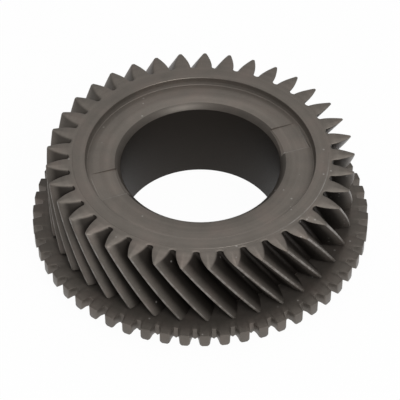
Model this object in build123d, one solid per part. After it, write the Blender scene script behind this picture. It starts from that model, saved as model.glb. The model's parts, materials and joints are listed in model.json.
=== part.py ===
"""Helical speed gear with an integral dog-clutch ring, for a heavy vehicle gearbox.

Millimetres.  The gear axis is Z and the origin is the centre of the flat bottom face, so the
gear stands on the XY plane.  One tooth of the helical gear and one of the clutch ring are
centred on +Y.  Everything is one forging, so there is one node.
"""
import os
from math import acos, atan, cos, degrees, pi, radians, sin, tan

from build123d import *

# ---- helical gear teeth -------------------------------------------------------------------
TEETH = 37
NORMAL_MODULE = 3.25
PRESSURE_ANGLE = 17.5      # normal, for tall teeth with a high contact ratio
HELIX_ANGLE = 32.0         # at the pitch circle, left-hand
PROFILE_SHIFT = 0.5        # these three are in normal modules
ADDENDUM = 1.42
DEDENDUM = 1.95
FACE_WIDTH = 37.6          # length of the helical teeth along the axis
TIP_CHAMFER_RADIAL = 3.6   # flat cone that breaks both ends of the tooth tips
TIP_CHAMFER_AXIAL = 1.4
FLANK_POINTS = 5           # points of the spline along one involute flank

# ---- dog-clutch ring below the gear -------------------------------------------------------
DOG_TEETH = 55
DOG_STEP = 4.2             # root of the clutch teeth above the tip of the gear teeth
DOG_DEPTH = 4.6            # radial height of a clutch tooth
DOG_THICKNESS = 7.4        # length of the ring along the axis
DOG_FILL = 0.50            # share of the pitch that a tooth takes at its tip
DOG_FLANK_TAPER = 12.0     # each flank leans in towards the tip, degrees
DOG_POINTING = 1.7         # V notch that points the lower corners of each tooth
DOG_POINTING_RUN = 5.0     # how far the notch runs into the rim below the roots
NECK_WIDTH = 0.9           # cutter run-out groove between the gear teeth and the ring
NECK_DEPTH = 0.8           # below the root circle of the gear teeth

# ---- hub, bore and thrust faces -----------------------------------------------------------
BORE_D = 80.0
BORE_CHAMFER = 2.9
BOSS_D = 122.0             # bottom boss, the face that the gear stands on
BOSS_HEIGHT = 6.8
BOSS_CHAMFER = 1.5
RIM_WALL = 8.6             # between the thrust recess and the roots of the gear teeth
RECESS_DEPTH = 3.8
RELIEF_WIDTH = 3.9         # turned relief at the foot of the recess wall
RELIEF_DEPTH = 0.5
FACE_STEP_WALL = 2.1       # inside the root circle, where the toothed end face starts
FACE_STEP = 0.25

# ---- oil grooves across the thrust face ---------------------------------------------------
OIL_GROOVE_WIDTH = 18.6
OIL_GROOVE_ANGLE = 21.8    # from +X
OIL_GROOVE_COUNT = 2
OIL_GROOVE_SHALLOW = 0.5   # depth at the outer end
OIL_GROOVE_TILT = 8.5      # floor falls towards the bore
OIL_GROOVE_WALL = 2.2      # between the outer end and the recess wall

# ---- worked out from the above ------------------------------------------------------------
transverse_module = NORMAL_MODULE / cos(radians(HELIX_ANGLE))
transverse_pressure = atan(tan(radians(PRESSURE_ANGLE)) / cos(radians(HELIX_ANGLE)))
pitch_r = TEETH * transverse_module / 2
base_r = pitch_r * cos(transverse_pressure)
tip_r = pitch_r + (ADDENDUM + PROFILE_SHIFT) * NORMAL_MODULE
root_r = pitch_r - (DEDENDUM - PROFILE_SHIFT) * NORMAL_MODULE
twist = FACE_WIDTH * tan(radians(HELIX_ANGLE)) / pitch_r

ring_z = BOSS_HEIGHT
neck_z = ring_z + DOG_THICKNESS
gear_z = neck_z + NECK_WIDTH
top_z = gear_z + FACE_WIDTH

bore_r = BORE_D / 2
recess_r = root_r - RIM_WALL
floor_z = top_z - RECESS_DEPTH
neck_r = root_r - NECK_DEPTH
dog_root_r = tip_r + DOG_STEP
dog_tip_r = dog_root_r + DOG_DEPTH


def polar(radius, angle):
    """Point in the XY plane at an angle in radians."""
    return (radius * cos(angle), radius * sin(angle))


def involute(angle):
    return tan(angle) - angle


def half_thickness(radius):
    """Half angle of a gear tooth at a radius on its involute flank."""
    at_pitch = (pi / 2 + 2 * PROFILE_SHIFT * tan(radians(PRESSURE_ANGLE))) / TEETH
    pressure = acos(min(1.0, base_r / radius))
    return at_pitch + involute(transverse_pressure) - involute(pressure)


def gear_outline():
    """Transverse outline of the helical gear: involute flanks, narrow tips, full-round roots."""
    start_r = max(base_r, root_r) + 0.02 * NORMAL_MODULE
    radii = [start_r + (tip_r - start_r) * i / (FLANK_POINTS - 1) for i in range(FLANK_POINTS)]
    pitch = 2 * pi / TEETH
    with BuildLine() as outline:
        for k in range(TEETH):
            centre = pi / 2 + k * pitch
            rising = [polar(r, centre - half_thickness(r)) for r in radii]
            falling = [polar(r, centre + half_thickness(r)) for r in reversed(radii)]
            following = polar(radii[0], centre + pitch - half_thickness(radii[0]))
            Spline(*rising)
            Line(rising[-1], falling[0])
            Spline(*falling)
            ThreePointArc(falling[-1], polar(root_r, centre + pitch / 2), following)
    return outline.line


def helical_teeth():
    """Toothed body, twisted left-hand and trimmed at both ends by a flat cone on the tips."""
    profile = make_face(gear_outline())
    body = Solid.extrude_linear_with_rotation(
        profile.face(), center=(0, 0, 0), normal=(0, 0, FACE_WIDTH), angle=-degrees(twist)
    )
    body = Pos(0, 0, gear_z) * Rot(0, 0, degrees(twist)) * body
    over_r = tip_r + NORMAL_MODULE
    shoulder_r = tip_r - TIP_CHAMFER_RADIAL
    slope = TIP_CHAMFER_AXIAL / TIP_CHAMFER_RADIAL
    over_drop = (over_r - shoulder_r) * slope
    blank = Polyline(
        (0, gear_z), (shoulder_r, gear_z), (over_r, gear_z + over_drop),
        (over_r, top_z - over_drop), (shoulder_r, top_z), (0, top_z), close=True,
    )
    return body & turned(blank)


def turned(section):
    """Solid of revolution from a closed section drawn as (radius, height)."""
    return revolve(Plane.XZ * make_face(section), Axis.Z)


def dog_ring():
    """Clutch ring: straight teeth whose lower corners are pointed by V notches."""
    pitch = 2 * pi / DOG_TEETH
    tip_half = DOG_FILL * pitch / 2
    lean = DOG_DEPTH * tan(radians(DOG_FLANK_TAPER))
    root_half = (tip_half * dog_tip_r + lean) / dog_root_r
    with BuildLine() as outline:
        for k in range(DOG_TEETH):
            centre = pi / 2 + k * pitch
            corners = [
                polar(dog_root_r, centre - root_half), polar(dog_tip_r, centre - tip_half),
                polar(dog_tip_r, centre + tip_half), polar(dog_root_r, centre + root_half),
            ]
            Polyline(*corners)
            Line(corners[-1], polar(dog_root_r, centre + pitch - root_half))
    ring = Pos(0, 0, ring_z) * extrude(make_face(outline.line), DOG_THICKNESS)

    run = DOG_DEPTH + DOG_POINTING_RUN + DOG_POINTING
    notch = extrude(
        Plane.XZ * make_face(Polyline(
            (-DOG_POINTING, 0), (DOG_POINTING, 0), (0, DOG_POINTING), close=True)),
        run,
    )
    start_r = dog_root_r - DOG_POINTING_RUN
    notches = [
        Pos(0, 0, ring_z) * Rot(0, 0, k * 360 / DOG_TEETH + side * degrees(root_half + tip_half) / 2)
        * Pos(0, start_r + run, 0) * notch
        for k in range(DOG_TEETH) for side in (-1, 1)
    ]
    return ring - notches


def hub():
    """Turned body that carries both rows of teeth, from the boss up to the neck."""
    boss_r = BOSS_D / 2
    return turned(Polyline(
        (0, 0), (boss_r - BOSS_CHAMFER, 0), (boss_r, BOSS_CHAMFER), (boss_r, ring_z),
        (neck_r, ring_z), (neck_r, gear_z), (0, gear_z), close=True,
    ))


def bore_cut():
    """Bore with a chamfer at each end, and the turned thrust recess in the top face."""
    mouth_r = bore_r + BORE_CHAMFER
    relief_r = recess_r - RELIEF_WIDTH
    step_r = root_r - FACE_STEP_WALL
    bore = turned(Polyline(
        (0, 0), (mouth_r, 0), (bore_r, BORE_CHAMFER), (bore_r, floor_z - BORE_CHAMFER),
        (mouth_r, floor_z), (relief_r, floor_z), (recess_r, floor_z - RELIEF_DEPTH),
        (recess_r, top_z), (0, top_z), close=True,
    ))
    over_r = tip_r + NORMAL_MODULE
    step = turned(Polyline(
        (step_r, top_z), (step_r + FACE_STEP, top_z - FACE_STEP),
        (over_r, top_z - FACE_STEP), (over_r, top_z), close=True,
    ))
    return [bore, step]


def oil_grooves():
    """Shallow grooves that run out of the bore across the thrust face."""
    outer_r = recess_r - OIL_GROOVE_WALL
    fall = outer_r * tan(radians(OIL_GROOVE_TILT))
    wedge = Polyline(
        (0, 0), (outer_r, 0), (outer_r, -OIL_GROOVE_SHALLOW),
        (0, -OIL_GROOVE_SHALLOW - fall), close=True,
    )
    cutter = extrude(Plane.XZ * make_face(wedge), OIL_GROOVE_WIDTH / 2, both=True)
    return [
        Pos(0, 0, floor_z) * Rot(0, 0, OIL_GROOVE_ANGLE + k * 360 / OIL_GROOVE_COUNT) * cutter
        for k in range(OIL_GROOVE_COUNT)
    ]


os.makedirs("parts", exist_ok=True)
gear = hub() + helical_teeth() + dog_ring()
gear = gear - bore_cut() - oil_grooves()
gear.label = "helical_gear"
gear.color = Color(0.30, 0.28, 0.26)
export_step(gear, "parts/helical_gear.step")
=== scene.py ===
"""A helical speed gear with a clutch ring, standing on its bottom face in a plain white studio."""
import json
from math import acos, atan, atan2, cos, pi, radians, sin, tan

import bmesh
import bpy
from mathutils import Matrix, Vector


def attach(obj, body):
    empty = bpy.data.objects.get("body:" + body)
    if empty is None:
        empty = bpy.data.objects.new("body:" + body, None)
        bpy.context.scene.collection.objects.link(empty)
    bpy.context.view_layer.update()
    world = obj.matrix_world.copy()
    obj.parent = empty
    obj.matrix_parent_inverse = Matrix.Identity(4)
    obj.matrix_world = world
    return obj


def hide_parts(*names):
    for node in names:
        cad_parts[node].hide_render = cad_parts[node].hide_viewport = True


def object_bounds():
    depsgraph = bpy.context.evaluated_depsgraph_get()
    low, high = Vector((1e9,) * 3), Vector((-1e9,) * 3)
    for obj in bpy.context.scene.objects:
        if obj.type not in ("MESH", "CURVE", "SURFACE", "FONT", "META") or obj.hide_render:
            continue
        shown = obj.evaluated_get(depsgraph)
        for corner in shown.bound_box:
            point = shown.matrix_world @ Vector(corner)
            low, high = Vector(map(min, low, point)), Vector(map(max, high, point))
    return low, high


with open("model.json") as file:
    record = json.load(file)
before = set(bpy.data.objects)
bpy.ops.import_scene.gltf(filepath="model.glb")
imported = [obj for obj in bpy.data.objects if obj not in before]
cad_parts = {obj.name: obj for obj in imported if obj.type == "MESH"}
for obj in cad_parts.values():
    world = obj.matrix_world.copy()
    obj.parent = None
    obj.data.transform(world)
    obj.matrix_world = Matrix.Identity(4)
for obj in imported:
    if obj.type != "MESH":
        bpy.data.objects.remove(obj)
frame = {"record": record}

cad_low, cad_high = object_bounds()
MM = 0.001

# ---- Camera -------------------------------------------------------------------------------
# The gear is seen from the -Y side and well from above with a long lens, so that the far
# teeth, the sunk thrust face and the light through the bore all show.
VIEW_ANGLE = radians(1.83)        # round the axis, from the -Y side
VIEW_ELEVATION = radians(44.26)
VIEW_DISTANCE = 973.3 * MM        # from the middle of the toothed end face
VIEW_LENS = 175.5
SENSOR_WIDTH = 36
NEAR_CLIP = 0.01
AIM_BELOW_TOP = 32.1 * MM
AIM_ASIDE = 0.2 * MM

top_z = cad_high.z
flat_reach = VIEW_DISTANCE * cos(VIEW_ELEVATION)
eye = Vector((flat_reach * sin(VIEW_ANGLE), -flat_reach * cos(VIEW_ANGLE),
              top_z + VIEW_DISTANCE * sin(VIEW_ELEVATION)))
aim = Vector((-AIM_ASIDE, 0, top_z - AIM_BELOW_TOP))
camera = bpy.data.objects.new("camera", bpy.data.cameras.new("camera"))
bpy.context.scene.collection.objects.link(camera)
bpy.context.scene.camera = camera
camera.data.sensor_width = SENSOR_WIDTH
camera.data.lens = VIEW_LENS
camera.data.clip_start = NEAR_CLIP
camera.location = eye
camera.rotation_mode = "QUATERNION"
camera.rotation_quaternion = (aim - eye).to_track_quat("-Z", "Y")


# ---- Hub ----------------------------------------------------------------------------------
# The turned body that carries both rows of teeth: a bore with chamfered mouths, a thrust face
# sunk into the toothed end with a relief at the foot of its wall, and a plain boss below on
# which the gear stands.  Everything is one forging, so the rows of teeth are merged into it.
bore_mount = next(m for m in frame["record"]["mounts"] if m["name"] == "bore")
thrust_mount = next(m for m in frame["record"]["mounts"] if m["name"] == "thrust_face")
BORE_R = bore_mount["dims"]["r_mm"] * MM
BORE_CHAMFER = 2.9 * MM
FLOOR_Z = thrust_mount["pos_m"][2]
BOSS_R = 61.0 * MM
BOSS_HEIGHT = 6.8 * MM
BOSS_CHAMFER = 1.5 * MM
RECESS_R = 57.58 * MM
RELIEF_WIDTH = 3.9 * MM
RELIEF_DEPTH = 0.5 * MM
WALL_FOOT = 1.6 * MM
FACE_R = 64.08 * MM
FACE_STEP = 0.12 * MM         # the ends of the teeth lie this much below the face
NECK_R = 65.38 * MM
NECK_TOP = 16.5 * MM
NECK_END = 17.5 * MM
EDGE_BREAK = 0.22 * MM
HUB_SEGMENTS = 296


def mesh_object(name, vertices, faces=(), edges=()):
    """Object with a plain mesh, placed at the origin."""
    mesh = bpy.data.meshes.new(name)
    mesh.from_pydata(vertices, edges, faces)
    piece = bpy.data.objects.new(name, mesh)
    bpy.context.scene.collection.objects.link(piece)
    return piece


def turned(name, outline, segments):
    """Closed ring turned from a closed outline of (radius, height) points."""
    count = len(outline)
    vertices = [(r * cos(a), r * sin(a), z)
                for a in (2 * pi * k / segments for k in range(segments)) for r, z in outline]
    faces = [(k * count + i, (k + 1) % segments * count + i,
              (k + 1) % segments * count + (i + 1) % count, k * count + (i + 1) % count)
             for k in range(segments) for i in range(count)]
    return mesh_object(name, vertices, faces)


def eased(outline, size, most=0.4):
    """The outline with its corners broken by small flats, each at most a share of a side."""
    result = []
    for i, corner in enumerate(outline):
        here = Vector(corner)
        for neighbour in (Vector(outline[i - 1]), Vector(outline[(i + 1) % len(outline)])):
            away = neighbour - here
            result.append(tuple(here + away * min(most, size / away.length)))
    return result


hub_outline = eased([
    (BORE_R, FLOOR_Z - BORE_CHAMFER), (BORE_R, BORE_CHAMFER), (BORE_R + BORE_CHAMFER, 0),
    (BOSS_R - BOSS_CHAMFER, 0), (BOSS_R, BOSS_CHAMFER), (BOSS_R, BOSS_HEIGHT + EDGE_BREAK),
    (NECK_R, BOSS_HEIGHT + EDGE_BREAK), (NECK_R, NECK_TOP), (FACE_R, NECK_END),
    (FACE_R, top_z), (RECESS_R, top_z), (RECESS_R, FLOOR_Z - RELIEF_DEPTH + WALL_FOOT),
    (RECESS_R - WALL_FOOT / 2, FLOOR_Z - RELIEF_DEPTH),
    (RECESS_R - RELIEF_WIDTH, FLOOR_Z), (BORE_R + BORE_CHAMFER, FLOOR_Z),
], EDGE_BREAK)
hub = turned("hub", hub_outline, HUB_SEGMENTS)


# ---- Toothed band -------------------------------------------------------------------------
# Both rows of teeth are the same kind of thing: the outline of one tooth and one gap, carried
# along the axis with a twist, closed by an end face at each end, and repeated round the axis.
def operator(operation, swapped=False):
    """Method for a Python operator that adds the Math node for it."""
    def method(self, other):
        return self.maths(operation, *((other, self) if swapped else (self, other)))
    return method


class Wire:
    """A socket in a node tree that can be used in Python arithmetic."""

    def __init__(self, tree, socket):
        self.tree, self.socket = tree, socket

    def maths(self, operation, *values, **settings):
        """Adds a Math node on the values, which are numbers or wires."""
        return add_node(self.tree, "ShaderNodeMath", {"operation": operation, **settings},
                        dict(enumerate(values)))

    __add__ = __radd__ = operator("ADD")
    __sub__ = operator("SUBTRACT")
    __rsub__ = operator("SUBTRACT", swapped=True)
    __mul__ = __rmul__ = operator("MULTIPLY")
    __truediv__ = operator("DIVIDE")
    __mod__ = operator("FLOORED_MODULO")
    __pow__ = operator("POWER")
    __gt__ = operator("GREATER_THAN")
    __lt__ = operator("LESS_THAN")

    def __neg__(self):
        return self * -1.0

    def at_least(self, other):
        return self.maths("MAXIMUM", self, other)

    def at_most(self, other):
        return self.maths("MINIMUM", self, other)

    def clamped(self):
        return self.maths("ADD", self, 0.0, use_clamp=True)

    def absolute(self):
        return self.maths("ABSOLUTE", self)

    def rounded(self):
        return self.maths("ROUND", self)


def add_node(tree, kind, settings=None, inputs=None, output=0):
    """Adds a node, sets it up, then fills its sockets with values or with other wires."""
    node = tree.nodes.new(kind)
    for name, value in (settings or {}).items():
        setattr(node, name, value)
    for key, value in (inputs or {}).items():
        if isinstance(value, Wire):
            tree.links.new(value.socket, node.inputs[key])
        else:
            node.inputs[key].default_value = value
    return Wire(tree, node.outputs[output]) if node.outputs else node


phosphated_steel = bpy.data.materials.new("phosphated steel")
END_ROWS = 4            # core, shoulder, face and edge, at each end of a band
SAME_POINT = 2e-6       # metres between points of two pitches that are one point


def toothed_band_tree():
    """Node tree that turns the wire outline of one pitch into a closed toothed band."""
    tree = bpy.data.node_groups.new("toothed band", "GeometryNodeTree")
    face = tree.interface
    face.new_socket("Geometry", in_out="INPUT", socket_type="NodeSocketGeometry")
    for name, kind in (("Teeth", "Int"), ("Rows", "Int"), ("Low", "Float"), ("High", "Float"),
                       ("Inner Radius", "Float"), ("Shoulder Radius", "Float"),
                       ("Twist", "Float")):
        face.new_socket(name, in_out="INPUT", socket_type="NodeSocket" + kind)
    face.new_socket("Geometry", in_out="OUTPUT", socket_type="NodeSocketGeometry")
    entry = tree.nodes.new("NodeGroupInput")
    given = {s.name: Wire(tree, s) for s in entry.outputs if s.name}
    outline = given["Geometry"]

    point_count = add_node(tree, "GeometryNodeAttributeDomainSize", {"component": "MESH"},
                           {"Geometry": outline})
    sheet = add_node(tree, "GeometryNodeMeshGrid", None,
                     {"Vertices X": point_count, "Vertices Y": given["Rows"]})
    index = add_node(tree, "GeometryNodeInputIndex")
    around = index % given["Rows"]
    column = (index - around) / given["Rows"]
    row = around % (given["Rows"] - 1)        # the last row closes on the first
    last = given["Rows"] - 2

    def carried(kind, name=None):
        """Place of the outline's point at this column, or a value kept on that point."""
        field = (add_node(tree, "GeometryNodeInputPosition") if name is None else
                 add_node(tree, "GeometryNodeInputNamedAttribute", {"data_type": kind},
                          {"Name": name}))
        return add_node(tree, "GeometryNodeSampleIndex", {"data_type": kind},
                        {"Geometry": outline, "Value": field,
                         "Index": column.rounded()})

    place, outward = carried("FLOAT_VECTOR"), carried("FLOAT_VECTOR", "outward")
    drop_low, drop_high = carried("FLOAT", "drop_low"), carried("FLOAT", "drop_high")
    ease_low, ease_high = carried("FLOAT", "ease_low"), carried("FLOAT", "ease_high")

    # At each end the rows are the core, the shoulder, the end face and the rounded edge, which
    # is drawn back along the outline's normal and falls away along the axis.
    level = row.at_most(last - row)
    on_core, on_flat, on_face, on_edge = level < 0.5, level < 1.5, level < 2.5, level < 3.5
    upper = row > last / 2
    ease = ease_low * (1 - upper) + ease_high * upper
    halfway = 1 - cos(pi / 4)        # the edge row lies halfway round its quarter circle
    drawn_back = ease * (on_face + (on_edge - on_face) * halfway)
    fallen = ease * (1 - on_edge + (on_edge - on_face) * halfway)
    inset = add_node(tree, "ShaderNodeVectorMath", {"operation": "SCALE"},
                     {0: outward, "Scale": -drawn_back})
    moved = add_node(tree, "ShaderNodeVectorMath", {"operation": "ADD"}, {0: place, 1: inset})
    reach = add_node(tree, "ShaderNodeVectorMath", {"operation": "LENGTH"}, {0: moved}, "Value")
    shoulder = reach.at_most(given["Shoulder Radius"])
    radius = (given["Inner Radius"] * on_core + shoulder * (on_flat - on_core)
              + reach * (1 - on_flat))
    flat = add_node(tree, "ShaderNodeVectorMath", {"operation": "SCALE"},
                    {0: moved, "Scale": radius / reach})

    share = ((row - END_ROWS) / (last - 2 * END_ROWS)).clamped()
    height = ((given["Low"] + drop_low * (1 - on_flat) + fallen) * (1 - share)
              + (given["High"] - drop_high * (1 - on_flat) - fallen) * share)
    lift = add_node(tree, "ShaderNodeCombineXYZ", None, {"Z": height})
    lifted = add_node(tree, "ShaderNodeVectorMath", {"operation": "ADD"}, {0: flat, 1: lift})
    turned_place = add_node(
        tree, "ShaderNodeVectorRotate", {"rotation_type": "Z_AXIS"},
        {"Vector": lifted, "Angle": given["Twist"] * (given["High"] - height)})
    pitch = add_node(tree, "GeometryNodeSetPosition", None,
                     {"Geometry": sheet, "Position": turned_place})

    spots = add_node(tree, "GeometryNodePoints", None, {"Count": given["Teeth"]})
    step = add_node(tree, "ShaderNodeCombineXYZ", None,
                    {"Z": add_node(tree, "GeometryNodeInputIndex") * (2 * pi) / given["Teeth"]})
    spin = add_node(tree, "FunctionNodeEulerToRotation", None, {0: step})
    all_round = add_node(tree, "GeometryNodeInstanceOnPoints", None,
                         {"Points": spots, "Instance": pitch, "Rotation": spin})
    band = add_node(tree, "GeometryNodeRealizeInstances", None, {0: all_round})
    joined = add_node(tree, "GeometryNodeMergeByDistance", None,
                      {"Geometry": band, "Distance": SAME_POINT})
    painted = add_node(tree, "GeometryNodeSetMaterial", None,
                       {"Geometry": joined, "Material": phosphated_steel})
    leave = tree.nodes.new("NodeGroupOutput")
    tree.links.new(painted.socket, leave.inputs[0])
    return tree


band_tree = toothed_band_tree()


def toothed_band(name, outline, **sizes):
    """Band of teeth from the outline of one pitch.

    Each point is (x, y, drop_low, drop_high, ease_low, ease_high): how far the end face falls
    back there at each end, and how far its edge is rounded.
    """
    wire = mesh_object(name + " outline", [(point[0], point[1], 0) for point in outline],
                       edges=[(i, i + 1) for i in range(len(outline) - 1)])
    pitch_angle = 2 * pi / sizes["Teeth"]

    def spun(v, angle):
        """The point turned round the axis by an angle."""
        return Vector((v.x * cos(angle) - v.y * sin(angle), v.x * sin(angle) + v.y * cos(angle)))

    walk = ([spun(Vector(outline[-2][:2]), -pitch_angle)]
            + [Vector(p[:2]) for p in outline] + [spun(Vector(outline[1][:2]), pitch_angle)])
    attributes = wire.data.attributes
    attributes.new("outward", "FLOAT_VECTOR", "POINT")
    end_names = ("drop_low", "drop_high", "ease_low", "ease_high")
    for end in end_names:
        attributes.new(end, "FLOAT", "POINT")
    for i, point in enumerate(outline):
        before = (walk[i + 1] - walk[i]).normalized()
        after = (walk[i + 2] - walk[i + 1]).normalized()
        along = (before + after).normalized()
        attributes["outward"].data[i].vector = (along.y, -along.x, 0)
        for end, value in zip(end_names, point[2:]):
            attributes[end].data[i].value = value
    modifier = wire.modifiers.new("toothed band", "NODES")
    modifier.node_group = band_tree
    for item in band_tree.interface.items_tree:
        if item.in_out == "INPUT" and item.name in sizes:
            modifier[item.identifier] = sizes[item.name]
    bpy.context.view_layer.update()
    graph = bpy.context.evaluated_depsgraph_get()
    mesh = bpy.data.meshes.new_from_object(wire.evaluated_get(graph))
    bpy.data.objects.remove(wire)
    band = bpy.data.objects.new(name, mesh)
    bpy.context.scene.collection.objects.link(band)
    return band


# ---- Helical teeth ------------------------------------------------------------------------
# 37 tall involute teeth, cut left-hand at 32 degrees, with full-round roots.  Where a flank
# meets the end face, the blunt edge is rounded well and the sharp one only near the root.
TEETH = 37
MODULE = 3.25 * MM
HELIX = radians(32)
PRESSURE = radians(17.5)
SHIFT = 0.5
ADDENDUM = 1.42
DEDENDUM = 2.05
BACKLASH = 0.2 * MM          # taken off each flank
FACE_WIDTH = 37.6 * MM
BLUNT_EASE = 1.0 * MM
SHARP_EASE_ROOT = 0.8 * MM
SHARP_EASE_TIP = 0.2 * MM
ROOT_EASE = 0.8 * MM
TIP_EASE = 0.45 * MM
BLUNT_HOLD = 4               # how long the blunt rounding holds as it goes up the flank
FLANK_START = 0.02 * MODULE  # from the base circle up to where a flank begins
TIP_ROUNDING = 0.32 * MM
FLANK_STEPS = 9
ROOT_STEPS = 7
TOOTH_ROWS = 30
TEETH_CORE_R = 60.5 * MM     # inside the hub's metal
SHOULDER_DEPTH = 1 * MM      # of the end face, below the roots

transverse_pressure = atan(tan(PRESSURE) / cos(HELIX))
PITCH_R = TEETH * MODULE / cos(HELIX) / 2
BASE_R = PITCH_R * cos(transverse_pressure)
TIP_R = PITCH_R + (ADDENDUM + SHIFT) * MODULE
ROOT_R = PITCH_R - (DEDENDUM - SHIFT) * MODULE
GEAR_TOP = top_z - FACE_STEP
GEAR_BOTTOM = top_z - FACE_WIDTH


def polar(radius, angle):
    """Point at a radius and an angle from +X."""
    return Vector((radius * cos(angle), radius * sin(angle)))


def half_thickness(radius):
    """Half angle of a tooth at a radius on its involute flank."""
    at_pitch = (pi / 2 + 2 * SHIFT * tan(PRESSURE)) / TEETH - BACKLASH / radius
    pressure = acos(min(1, BASE_R / radius))
    return (at_pitch + tan(transverse_pressure) - transverse_pressure
            - (tan(pressure) - pressure))


def circle_through(a, b, c):
    """Centre and radius of the circle through three points."""
    ax, ay, bx, by = b.x - a.x, b.y - a.y, c.x - a.x, c.y - a.y
    d = 2 * (ax * by - ay * bx)
    u = Vector((by * (ax * ax + ay * ay) - ay * (bx * bx + by * by),
                ax * (bx * bx + by * by) - bx * (ax * ax + ay * ay))) / d
    return a + u, u.length


def helical_outline():
    """One pitch from gap middle to gap middle, with the tooth centred on +Y."""
    centre, half_pitch = pi / 2, pi / TEETH
    start_r = max(BASE_R, ROOT_R) + FLANK_START
    flank_end_r = TIP_R - TIP_ROUNDING
    radii = [start_r + (flank_end_r - start_r) * i / FLANK_STEPS for i in range(FLANK_STEPS + 1)]
    foot = polar(start_r, centre - half_thickness(start_r))
    other = polar(start_r, centre - 2 * half_pitch + half_thickness(start_r))
    middle, root_radius = circle_through(other, polar(ROOT_R, centre - half_pitch), foot)
    begin = atan2(*(polar(ROOT_R, centre - half_pitch) - middle).yx)
    finish = atan2(*(foot - middle).yx)
    sweep = (finish - begin + pi) % (2 * pi) - pi
    right = [middle + polar(root_radius, begin + sweep * i / ROOT_STEPS)
             for i in range(ROOT_STEPS)]
    right += [polar(r, centre - half_thickness(r)) for r in radii]
    land = half_thickness(TIP_R)
    right += [polar(TIP_R - TIP_ROUNDING * 0.3, centre - land * 0.97),    # round of the tip
              polar(TIP_R, centre - land * 0.62), polar(TIP_R, centre)]
    left = [Vector((-p.x, p.y)) for p in reversed(right[:-1])]

    def eases(p, blunt):
        """Rounding of the end edge at a point, for an end where its flank is blunt or sharp."""
        up = max(0, min(1, (p.length - start_r) / (flank_end_r - start_r)))
        if p.length < start_r:
            return ROOT_EASE
        if up == 1:
            return TIP_EASE
        if blunt:
            return BLUNT_EASE + (TIP_EASE - BLUNT_EASE) * up ** BLUNT_HOLD
        return SHARP_EASE_ROOT + (SHARP_EASE_TIP - SHARP_EASE_ROOT) * up

    return ([(p.x, p.y, 0, 0, eases(p, True), eases(p, False)) for p in right]
            + [(p.x, p.y, 0, 0, eases(p, False), eases(p, True)) for p in left])


helical_teeth = toothed_band(
    "helical_teeth", helical_outline(), Teeth=TEETH, Rows=TOOTH_ROWS, Low=GEAR_BOTTOM,
    High=GEAR_TOP, **{"Inner Radius": TEETH_CORE_R, "Shoulder Radius": ROOT_R - SHOULDER_DEPTH,
                      "Twist": tan(HELIX) / PITCH_R})


# ---- Clutch ring --------------------------------------------------------------------------
# 55 short straight teeth on a larger circle, cut for a shift sleeve that slides up from below.
# The lower corners of each tooth are pointed, and the cutter leaves a small spike of metal
# in the middle of every gap.
DOG_TEETH = 55
DOG_DEPTH = 4.6 * MM
DOG_THICKNESS = 7.4 * MM
DOG_FILL = 0.50
DOG_TAPER = radians(12)
DOG_POINTING = 1.7 * MM
DOG_POINTING_RUN = 5.0 * MM    # from the roots inwards, where the notches fade out
DOG_EDGE = 0.22 * MM
DOG_ROUNDING = 0.3 * MM        # of the corners of the outline
NOTCH_TOE = 0.2                # share of the way from a tooth's foot to the end of its notch
LEAST_LAND = 0.1               # share of the tip that the notches always leave
DOG_ROWS = 12
RING_CORE_R = 63 * MM          # inside the hub's metal
DOG_TIP_R = cad_high.y
DOG_ROOT_R = DOG_TIP_R - DOG_DEPTH
DOG_LOW = BOSS_HEIGHT
DOG_HIGH = BOSS_HEIGHT + DOG_THICKNESS


def clutch_outline():
    """One pitch from gap middle to gap middle; the drop at the low end is the pointing cut."""
    centre, half_pitch = pi / 2, pi / DOG_TEETH
    tip_half = DOG_FILL * half_pitch
    root_half = (tip_half * DOG_TIP_R + DOG_DEPTH * tan(DOG_TAPER)) / DOG_ROOT_R
    notch_middle = (tip_half + root_half) / 2
    lean = DOG_ROUNDING * tan(DOG_TAPER)

    def on(radius, angle):
        """Point on the outline at an angle from the tooth middle, with the rise of its low end."""
        p = polar(radius, centre - angle)
        cut = max(0, DOG_POINTING - abs(abs(angle) - notch_middle) * radius)
        return (p.x, p.y, cut, 0, DOG_EDGE, DOG_EDGE)

    notch_root = DOG_POINTING / DOG_ROOT_R
    notch_tip = DOG_POINTING / DOG_TIP_R
    toe = root_half + NOTCH_TOE * (notch_middle + notch_root - root_half)
    right = [on(DOG_ROOT_R, half_pitch), on(DOG_ROOT_R, notch_middle + notch_root),
             on(DOG_ROOT_R, toe), on(DOG_ROOT_R + DOG_ROUNDING, root_half - lean / DOG_ROOT_R),
             on((DOG_ROOT_R + DOG_TIP_R) / 2, notch_middle),
             on(DOG_TIP_R - DOG_ROUNDING, tip_half + lean / DOG_TIP_R),
             on(DOG_TIP_R, tip_half - DOG_ROUNDING / DOG_TIP_R),
             on(DOG_TIP_R, max(LEAST_LAND * tip_half, notch_middle - notch_tip)),
             on(DOG_TIP_R, 0)]
    left = [(-point[0], *point[1:]) for point in reversed(right[:-1])]
    return right + left


clutch_ring = toothed_band(
    "clutch_ring", clutch_outline(), Teeth=DOG_TEETH, Rows=DOG_ROWS, Low=DOG_LOW, High=DOG_HIGH,
    **{"Inner Radius": RING_CORE_R, "Shoulder Radius": DOG_ROOT_R - DOG_POINTING_RUN,
       "Twist": 0.0})


# ---- Oil grooves and merging --------------------------------------------------------------
# Two shallow grooves feed oil from the bore across the thrust face.  Each has a floor that
# falls towards the bore and towards its -Y side, as a tilted cutter leaves it.
GROOVE_WIDTH = 18.6 * MM
GROOVE_ANGLE = radians(21.8)
GROOVE_OUTER = RECESS_R - 2.2 * MM
GROOVE_SHALLOW = 0.15 * MM
GROOVE_ROLL = 0.9 * MM            # how much deeper the floor is along the -Y side
GROOVE_TILT = radians(3)
CUTTER_START = 20 * MM            # in the bore, clear of its wall
CUTTER_OVER = 2 * MM              # above the thrust face
CUTTER_FLARE = 0.3 * MM


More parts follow.
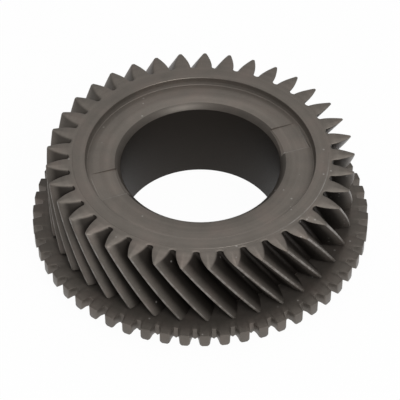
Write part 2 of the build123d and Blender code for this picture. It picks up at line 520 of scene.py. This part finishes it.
def groove_cutter(angle, low_side):
    """Block that cuts one groove; its floor is deeper on the low side, which is -1 or 1."""
    deep = GROOVE_SHALLOW + (GROOVE_OUTER - CUTTER_START) * tan(GROOVE_TILT)
    section = [(CUTTER_START, CUTTER_OVER), (GROOVE_OUTER + CUTTER_FLARE, CUTTER_OVER),
               (GROOVE_OUTER, -GROOVE_SHALLOW), (CUTTER_START, -deep)]
    vertices = []
    for side in (-1, 1):
        for along, up in section:
            across = side * GROOVE_WIDTH / 2
            up -= GROOVE_ROLL if side == low_side and up < 0 else 0
            vertices.append((along * cos(angle) - across * sin(angle),
                             along * sin(angle) + across * cos(angle), FLOOR_Z + up))
    faces = [(0, 1, 2, 3), (7, 6, 5, 4), (0, 4, 5, 1), (1, 5, 6, 2), (2, 6, 7, 3), (3, 7, 4, 0)]
    return mesh_object("groove cutter", vertices, faces)


SAME_VERTEX = 1e-6                # metres


def facing_out(piece):
    """Joins the doubled vertices of a closed shell and turns every face outwards."""
    shell = bmesh.new()
    shell.from_mesh(piece.data)
    bmesh.ops.remove_doubles(shell, verts=shell.verts, dist=SAME_VERTEX)
    bmesh.ops.dissolve_degenerate(shell, edges=shell.edges, dist=SAME_VERTEX)
    bmesh.ops.recalc_face_normals(shell, faces=shell.faces)
    shell.to_mesh(piece.data)
    shell.free()


def merged(piece, operation, *others):
    """Joins other closed shells to a piece, or cuts them out of it."""
    for other in others:
        modifier = piece.modifiers.new("merge", "BOOLEAN")
        modifier.operation, modifier.object, modifier.solver = operation, other, "MANIFOLD"
    bpy.context.view_layer.update()
    graph = bpy.context.evaluated_depsgraph_get()
    mesh = bpy.data.meshes.new_from_object(piece.evaluated_get(graph))
    piece.modifiers.clear()
    piece.data = mesh
    for other in others:
        bpy.data.objects.remove(other)


cutters = [groove_cutter(GROOVE_ANGLE, -1), groove_cutter(GROOVE_ANGLE + pi, 1)]
for shell in (hub, helical_teeth, clutch_ring, *cutters):
    facing_out(shell)
merged(hub, "DIFFERENCE", *cutters)
merged(hub, "UNION", helical_teeth, clutch_ring)
facing_out(hub)
gear = hub
gear.name = gear.data.name = "gear"


# ---- Finish of the gear -------------------------------------------------------------------
# Phosphated and oiled steel that has run in a gearbox: a matt warm grey skin with faint turning
# marks and rubbed bright along the tips.  Painted shade makes it near black in the gaps and the
# bore, faces that look up are painted lighter, and painted highlights run along some edges.
# Its grain is a few tenths of a millimetre.
STEEL = (0.175, 0.155, 0.135, 1)
WARM_TINT = (0.176, 0.140, 0.122, 1)
# Colour of the painted shade in the gaps, in the bore and on the flat of the clutch ring.
PAINTED_SHADE_COLOUR = (0.020, 0.016, 0.013, 1)
# Bright bare metal, used for rubbed spots and for the painted highlights.
RUBBED_AND_HIGHLIGHT = (0.34, 0.32, 0.30, 1)
WARM_SHARE = 0.55
SKIN_TONE = 0.80
TOP_LIGHTER = 0.18             # painted light: faces that look up are made lighter
CLOUD_TONE = 0.45
GRAIN_TONE = 0.35
TURNING_TONE = 0.40
TIP_REACH = 0.7 * MM           # how far down from the tip a flank is left free of painted shade
SHADE_FADE = 4.2 * MM
SHADE_WANDER = 1.2 * MM
SHADE_SHARE = 0.93
SHADE_BEHIND = 0.35            # share of the painted shade on the side towards +Y
SHADE_TURN = 22 * MM           # y at which it has thinned to that share
BORE_DARKNESS = 0.96
MOUTH_SHADE = 0.42              # lighter painted shade on the chamfer of the bore
RING_SHADE = 0.38               # and on the flat of the clutch ring, under the helical teeth
LAND_EDGE = 0.25 * MM
LAND_MARGIN = 1 * MM
HIGHLIGHT_X, HIGHLIGHT_Y = 0.88, -0.47   # direction of the side of the toothed face whose rim gets a painted highlight
RIM_WIDTH = 0.40 * MM
GROOVE_SIDE_WIDTH = 0.4 * MM
GROOVE_END_WIDTH = 0.45 * MM
SPECK_PITCH = 260.0            # cells to a metre
SPECK_RARITY = 0.965
SPECK_ON_HIGHLIGHT_SIDE = 0.25              # how much less rare they are on the side of the rim's painted highlight
SPECK_CLEAR = 1 * MM           # round the bore
SPECK_BRIGHTNESS = 0.8
NICK_BRIGHTNESS = 1.6
NICKS = [  # bare spots left by handling: x, y, z and radius in millimetres
    (-22.4, -75.2, 14.2, 0.6), (16.8, -75.4, 15.6, 1.2), (28.3, -71.2, 15.6, 1.5),
    (40.0, -65.6, 15.4, 1.4), (11.6, -66.3, 52.6, 1.1),
]
TURNING_RELIEF = 0.6
RELIEF_STRENGTH = 0.35
RELIEF_HEIGHT = 0.06 * MM
METAL_SHARE = 0.6
SKIN_ROUGHNESS = 0.42
SHEEN_LEVEL = 0.3
SHARP_ANGLE = radians(32)

phosphated_steel.use_nodes = True
tree = phosphated_steel.node_tree
tree.nodes.clear()


def mixed_colour(share, first, second, blend="MIX"):
    """Colour between two others; the Mix node's colour sockets are 6 and 7."""
    return add_node(tree, "ShaderNodeMix", {"data_type": "RGBA", "blend_type": blend},
                    {0: share, 6: first, 7: second}, 2)


def noise(place, scale, detail, roughness=0.5):
    """Noise from 0 to 1 with so many waves to a metre."""
    return add_node(tree, "ShaderNodeTexNoise", {"noise_dimensions": "3D"},
                    {"Vector": place, "Scale": scale, "Detail": detail, "Roughness": roughness})


def centred(value):
    """Noise counted from its middle."""
    return value - 0.5


def rising(value, start, slope):
    """Mask that grows from 0 where the value passes the start."""
    return ((value - start) * slope).clamped()


def falling(value, end, slope):
    """Mask that is back at 0 where the value reaches the end."""
    return ((end - value) * slope).clamped()


def line(distance, width):
    """Mask that is 1 where the distance is nought and 0 past the width."""
    return (1 - distance.absolute() / width).clamped()


spot = add_node(tree, "ShaderNodeTexCoord", output="Object")
facing = add_node(tree, "ShaderNodeTexCoord", output="Normal")
x, y, height = (add_node(tree, "ShaderNodeSeparateXYZ", None, {0: spot}, i) for i in range(3))
upward = add_node(tree, "ShaderNodeSeparateXYZ", None, {0: facing}, 2)
radius = (x * x + y * y) ** 0.5

cloud = noise(spot, scale=90.0, detail=3.0)
grain = noise(spot, scale=1500.0, detail=4.0, roughness=0.65)
blotch = noise(spot, scale=260.0, detail=5.0, roughness=0.6)
turning_spot = add_node(tree, "ShaderNodeCombineXYZ", None,
                        {"X": radius, "Y": height * 0.4, "Z": (x - y) * 0.02})
turning = noise(turning_spot, scale=2600.0, detail=3.0, roughness=0.7)
broad_turning = noise(turning_spot, scale=420.0, detail=2.0)

# Painted shade: dark in the gaps of the helical teeth, most towards -Y, and in the bore, lighter
# on the upper mouth of the bore and on the flat of the clutch ring under the teeth.
flat_top = rising(upward, start=0.72, slope=5)
in_teeth = (height > DOG_HIGH + EDGE_BREAK) * (radius > FACE_R)
gap_shade_edge = TIP_R - TIP_REACH + centred(blotch) * SHADE_WANDER
depth = ((gap_shade_edge - radius) / SHADE_FADE).clamped()
# Painted shade in the gaps is heaviest towards -Y and thins towards +Y.
shade_towards_front = SHADE_BEHIND + falling(y, end=SHADE_TURN, slope=25) * (1 - SHADE_BEHIND)
gap_shade = (depth * depth * (3 - 2 * depth) * in_teeth * (1 - flat_top) * SHADE_SHARE) * shade_towards_front
# Painted shade in the bore, and a lighter painted shade on the chamfer of its upper mouth.
bore_shade = (radius < BORE_R + EDGE_BREAK) * BORE_DARKNESS
mouth_shade = (radius < BORE_R + BORE_CHAMFER) * (height > FLOOR_Z - BORE_CHAMFER) * MOUTH_SHADE
# Painted shade on the flat of the clutch ring, under the helical teeth.
thin_shade = mouth_shade.at_least((height < DOG_HIGH + EDGE_BREAK) * flat_top * RING_SHADE)

# Rubbed metal and painted highlights: rubbed metal on the tips of the teeth, small nicks and a
# scatter of bright specks; painted highlights along the rim of the toothed face on one side and
# along the edges of the oil grooves.
land = (radius > TIP_R - LAND_EDGE) * (radius < TIP_R + LAND_MARGIN) * in_teeth
patchy = rising(blotch, start=0.38, slope=4)
# Painted highlight along the rim of the toothed face, on one side only; the specks are denser
# there too.
highlight_side = rising((x * HIGHLIGHT_X + y * HIGHLIGHT_Y) / radius, start=0.86, slope=9)
rim_highlight = line(radius - FACE_R, RIM_WIDTH)
# Painted highlight along the edges of the oil grooves.
along = (x * cos(GROOVE_ANGLE) + y * sin(GROOVE_ANGLE)).absolute()
across = y * cos(GROOVE_ANGLE) - x * sin(GROOVE_ANGLE)
side_line = line(across + GROOVE_WIDTH / 2, GROOVE_SIDE_WIDTH) * (along < GROOVE_OUTER)
end_line = line(along - GROOVE_OUTER, GROOVE_END_WIDTH) * (across.absolute() < GROOVE_WIDTH / 2)
on_floor = flat_top * (radius < RECESS_R - RELIEF_WIDTH / 2) * (radius > BORE_R + BORE_CHAMFER)
groove_highlight = side_line.at_least(end_line) * on_floor
cell = {"Vector": spot, "Scale": SPECK_PITCH}
speck = falling(add_node(tree, "ShaderNodeTexVoronoi", None, cell), end=0.16, slope=20)
chance = add_node(tree, "ShaderNodeSeparateColor", None,
                  {0: add_node(tree, "ShaderNodeTexVoronoi", None, cell, "Color")})
specks = speck * (chance > SPECK_RARITY - highlight_side * SPECK_ON_HIGHLIGHT_SIDE) * (radius > BORE_R + SPECK_CLEAR)
nicks = specks * SPECK_BRIGHTNESS
for nick_x, nick_y, nick_z, size in NICKS:
    gap = add_node(tree, "ShaderNodeVectorMath", {"operation": "DISTANCE"},
                   {0: spot, 1: (nick_x * MM, nick_y * MM, nick_z * MM)}, "Value")
    nick = (1 - gap / (size * MM) + centred(blotch)).clamped()
    nicks = nicks.at_least(nick * NICK_BRIGHTNESS)
rubbed_and_highlight = (land * patchy * 0.5).at_least(rim_highlight * highlight_side * (0.4 + patchy * 0.6))
rubbed_and_highlight = rubbed_and_highlight.at_least(groove_highlight * (0.3 + patchy * 0.5)).at_least(nicks).clamped()

# Painted light: faces that look up are made lighter.
tone = (SKIN_TONE + TOP_LIGHTER * flat_top + centred(cloud) * CLOUD_TONE
        + centred(grain) * GRAIN_TONE + centred(broad_turning) * TURNING_TONE * flat_top)
shade = add_node(tree, "ShaderNodeCombineColor", None, {0: tone, 1: tone, 2: tone})
warm = rising(cloud, start=0.45, slope=3) * WARM_SHARE
skin_colour = mixed_colour(warm, STEEL, WARM_TINT)
skin_colour = mixed_colour(1.0, skin_colour, shade, "MULTIPLY")
# Painted shade takes the dark colour here.
skin_colour = mixed_colour(gap_shade.at_least(bore_shade).at_least(thin_shade), skin_colour, PAINTED_SHADE_COLOUR)
# Rubbed metal and the painted highlights take the bright colour here.
skin_colour = mixed_colour(rubbed_and_highlight, skin_colour, RUBBED_AND_HIGHLIGHT)
roughness = SKIN_ROUGHNESS + centred(grain) * 0.25 + gap_shade * 0.15 + bore_shade * 0.2
relief = turning * flat_top * TURNING_RELIEF + grain
bumped = add_node(tree, "ShaderNodeBump", None,
                  {"Strength": RELIEF_STRENGTH, "Distance": RELIEF_HEIGHT, "Height": relief})
skin = add_node(tree, "ShaderNodeBsdfPrincipled", None,
                {"Base Color": skin_colour, "Metallic": METAL_SHARE,
                 "Roughness": roughness.clamped(), "Specular IOR Level": SHEEN_LEVEL,
                 "Normal": bumped})
add_node(tree, "ShaderNodeOutputMaterial", None, {"Surface": skin})
gear.data.materials.clear()
gear.data.materials.append(phosphated_steel)
gear.data.shade_smooth()
gear.data.set_sharp_from_angle(angle=SHARP_ANGLE)
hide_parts("helical_gear")
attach(gear, "root")


# ---- Studio -------------------------------------------------------------------------------
# A plain white table under a wide soft light, with a second one from the front.  To the camera
# the table is nearly all glow, and a little matt white is left to take the gear's shadow.
TABLE_REACH = 3
TABLE_COLOUR = (0.8, 0.8, 0.8, 1)
GLOW_SHARE = 0.97
WHITE = (1, 1, 1, 1)
SURROUNDING_LIGHT = 0.42

corners = [(-1, -1), (1, -1), (1, 1), (-1, 1)]
floor = mesh_object("floor", [(i * TABLE_REACH, j * TABLE_REACH, 0) for i, j in corners],
                    [(0, 1, 2, 3)])
white = bpy.data.materials.new("white table")
white.use_nodes = True
tree = white.node_tree
tree.nodes.clear()
seen = add_node(tree, "ShaderNodeLightPath", output="Is Camera Ray")
mirrored = add_node(tree, "ShaderNodeLightPath", output="Is Glossy Ray")
matt = add_node(tree, "ShaderNodeBsdfDiffuse", None, {"Color": TABLE_COLOUR})
glow = add_node(tree, "ShaderNodeEmission", None, {"Color": WHITE, "Strength": 1.0})
mixed = add_node(tree, "ShaderNodeMixShader", None,
                 {0: ((seen + mirrored) * GLOW_SHARE).clamped(), 1: matt, 2: glow})
add_node(tree, "ShaderNodeOutputMaterial", None, {"Surface": mixed})
floor.data.materials.append(white)

world = bpy.data.worlds.new("studio")
bpy.context.scene.world = world
world.use_nodes = True
tree = world.node_tree
tree.nodes.clear()
back = add_node(tree, "ShaderNodeBackground", None,
                {"Color": WHITE, "Strength": SURROUNDING_LIGHT})
add_node(tree, "ShaderNodeOutputWorld", None, {"Surface": back})


def soft_light(name, place, size, power):
    """Square light of a size in metres and a power in watts, turned to the origin."""
    light = bpy.data.objects.new(name, bpy.data.lights.new(name, "AREA"))
    bpy.context.scene.collection.objects.link(light)
    light.data.size = size
    light.data.energy = power
    light.location = place
    light.rotation_mode = "QUATERNION"
    light.rotation_quaternion = (Vector((0, 0, 0)) - Vector(place)).to_track_quat("-Z", "Y")


soft_light("overhead", place=(0.1, 0.25, 1.3), size=0.9, power=3.6)
soft_light("front", place=(0.45, -0.85, 1.0), size=0.7, power=10)

bpy.context.scene.view_settings.view_transform = "Standard"
